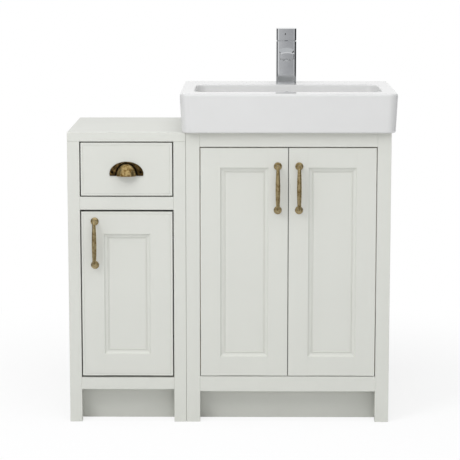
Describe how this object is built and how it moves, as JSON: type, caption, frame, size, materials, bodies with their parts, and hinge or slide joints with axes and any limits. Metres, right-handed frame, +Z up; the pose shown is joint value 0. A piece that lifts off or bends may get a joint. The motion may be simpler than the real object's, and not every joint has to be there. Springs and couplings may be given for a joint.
{
  "type": "vanity unit with cupboard",
  "caption": "Bathroom vanity with hinged doors under a ceramic basin and mixer tap, joined to a lower cupboard with a drawer over a door, on toe-space legs.",
  "frame": {"origin": "on the floor, under the middle of the unit's bounding box", "axes": "+Z up; +Y from the fronts towards the wall; +X to the right of someone facing the fronts"},
  "size_m": [0.8352, 0.43, 0.996],
  "materials": {
    "painted_timber": "satin paint",
    "lined_board": "matt lining",
    "bare_timber": "clear lacquer",
    "plated_steel": "nickel plate",
    "antique_brass": "aged and rubbed",
    "chrome_plate": "polished",
    "glazed_white": "gloss glaze",
    "grey_plastic": "moulded",
    "brass_nut": "turned"
  },
  "bodies": {
    "cabinet": {"cupboard_top": "painted_timber", "cupboard_left_side": "painted_timber", "cupboard_right_side": "painted_timber", "cupboard_left_stile": "painted_timber", "cupboard_right_stile": "painted_timber", "cupboard_middle_rail": "painted_timber", "cupboard_bottom_rail": "painted_timber", "cupboard_plinth": "painted_timber", "cupboard_base": "lined_board", "cupboard_back": "lined_board", "cupboard_shelf": "lined_board", "shelf_pegs": "plated_steel", "hinge_battens": "bare_timber", "runner_packers": "bare_timber", "runner_cabinet_members": "plated_steel", "hinge_arms": "plated_steel", "hinge_pins": "plated_steel", "hinge_plates": "plated_steel", "vanity_left_side": "painted_timber", "vanity_right_side": "painted_timber", "vanity_left_stile": "painted_timber", "vanity_right_stile": "painted_timber", "vanity_top_rail": "painted_timber", "vanity_bottom_rail": "painted_timber", "vanity_plinth": "painted_timber", "vanity_base": "lined_board", "vanity_wall_rails": "lined_board", "basin": "glazed_white", "overflow_ring": "chrome_plate", "waste_body": "chrome_plate", "waste_nut": "brass_nut", "tap_body": "chrome_plate", "tap_aerator": "grey_plastic", "tap_nut": "brass_nut"},
    "drawer": {"drawer_front": "painted_timber", "drawer_cup_handle": "antique_brass", "cup_handle_screws": "antique_brass", "drawer_sides": "bare_timber", "drawer_back": "bare_timber", "drawer_bottom": "lined_board", "runner_drawer_members": "plated_steel"},
    "runner_middles": {"runner_middle_members": "plated_steel"},
    "cupboard_door": {"cupboard_door_stiles": "painted_timber", "cupboard_door_rails": "painted_timber", "cupboard_door_panel": "painted_timber", "cupboard_door_hinge_cups": "plated_steel", "cupboard_door_handle": "antique_brass"},
    "left_door": {"left_door_stiles": "painted_timber", "left_door_rails": "painted_timber", "left_door_panel": "painted_timber", "left_door_hinge_cups": "plated_steel", "left_door_handle": "antique_brass"},
    "right_door": {"right_door_stiles": "painted_timber", "right_door_rails": "painted_timber", "right_door_panel": "painted_timber", "right_door_hinge_cups": "plated_steel", "right_door_handle": "antique_brass"},
    "tap_turning_stem": {"tap_stem": "chrome_plate"},
    "tap_lever": {"tap_handle": "chrome_plate"},
    "plug": {"waste_plug": "chrome_plate"}
  },
  "joints": [
    {"name": "drawer_slide", "type": "slide", "parent": "cabinet", "child": "drawer", "axis": [0, -1, 0], "range_m": [0, 0.26]},
    {"name": "runner_middle_slide", "type": "slide", "parent": "cabinet", "child": "runner_middles", "axis": [0, -1, 0], "range_m": [0, 0.13]},
    {"name": "cupboard_door_hinge", "type": "hinge", "parent": "cabinet", "child": "cupboard_door", "pos_m": [-0.17425, -0.176, 0.335], "axis": [0, 0, 1], "range_deg": [0, 95]},
    {"name": "left_door_hinge", "type": "hinge", "parent": "cabinet", "child": "left_door", "pos_m": [-0.05775, -0.176, 0.4165], "axis": [0, 0, -1], "range_deg": [0, 95]},
    {"name": "right_door_hinge", "type": "hinge", "parent": "cabinet", "child": "right_door", "pos_m": [0.34325, -0.176, 0.4165], "axis": [0, 0, 1], "range_deg": [0, 95]},
    {"name": "tap_turn", "type": "hinge", "parent": "cabinet", "child": "tap_turning_stem", "pos_m": [0.14275, 0.158, 0.963], "axis": [0, 0, 1], "range_deg": [-45, 45]},
    {"name": "tap_lift", "type": "hinge", "parent": "tap_turning_stem", "child": "tap_lever", "pos_m": [0.14275, 0.158, 0.974], "axis": [-1, 0, 0], "range_deg": [0, 15]},
    {"name": "plug_slide", "type": "slide", "parent": "cabinet", "child": "plug", "axis": [0, 0, 1], "range_m": [0, 0.007]}
  ],
  "couplings": [
    {"joint": "runner_middle_slide", "follows": "drawer_slide", "ratio": 0.5}
  ]
}
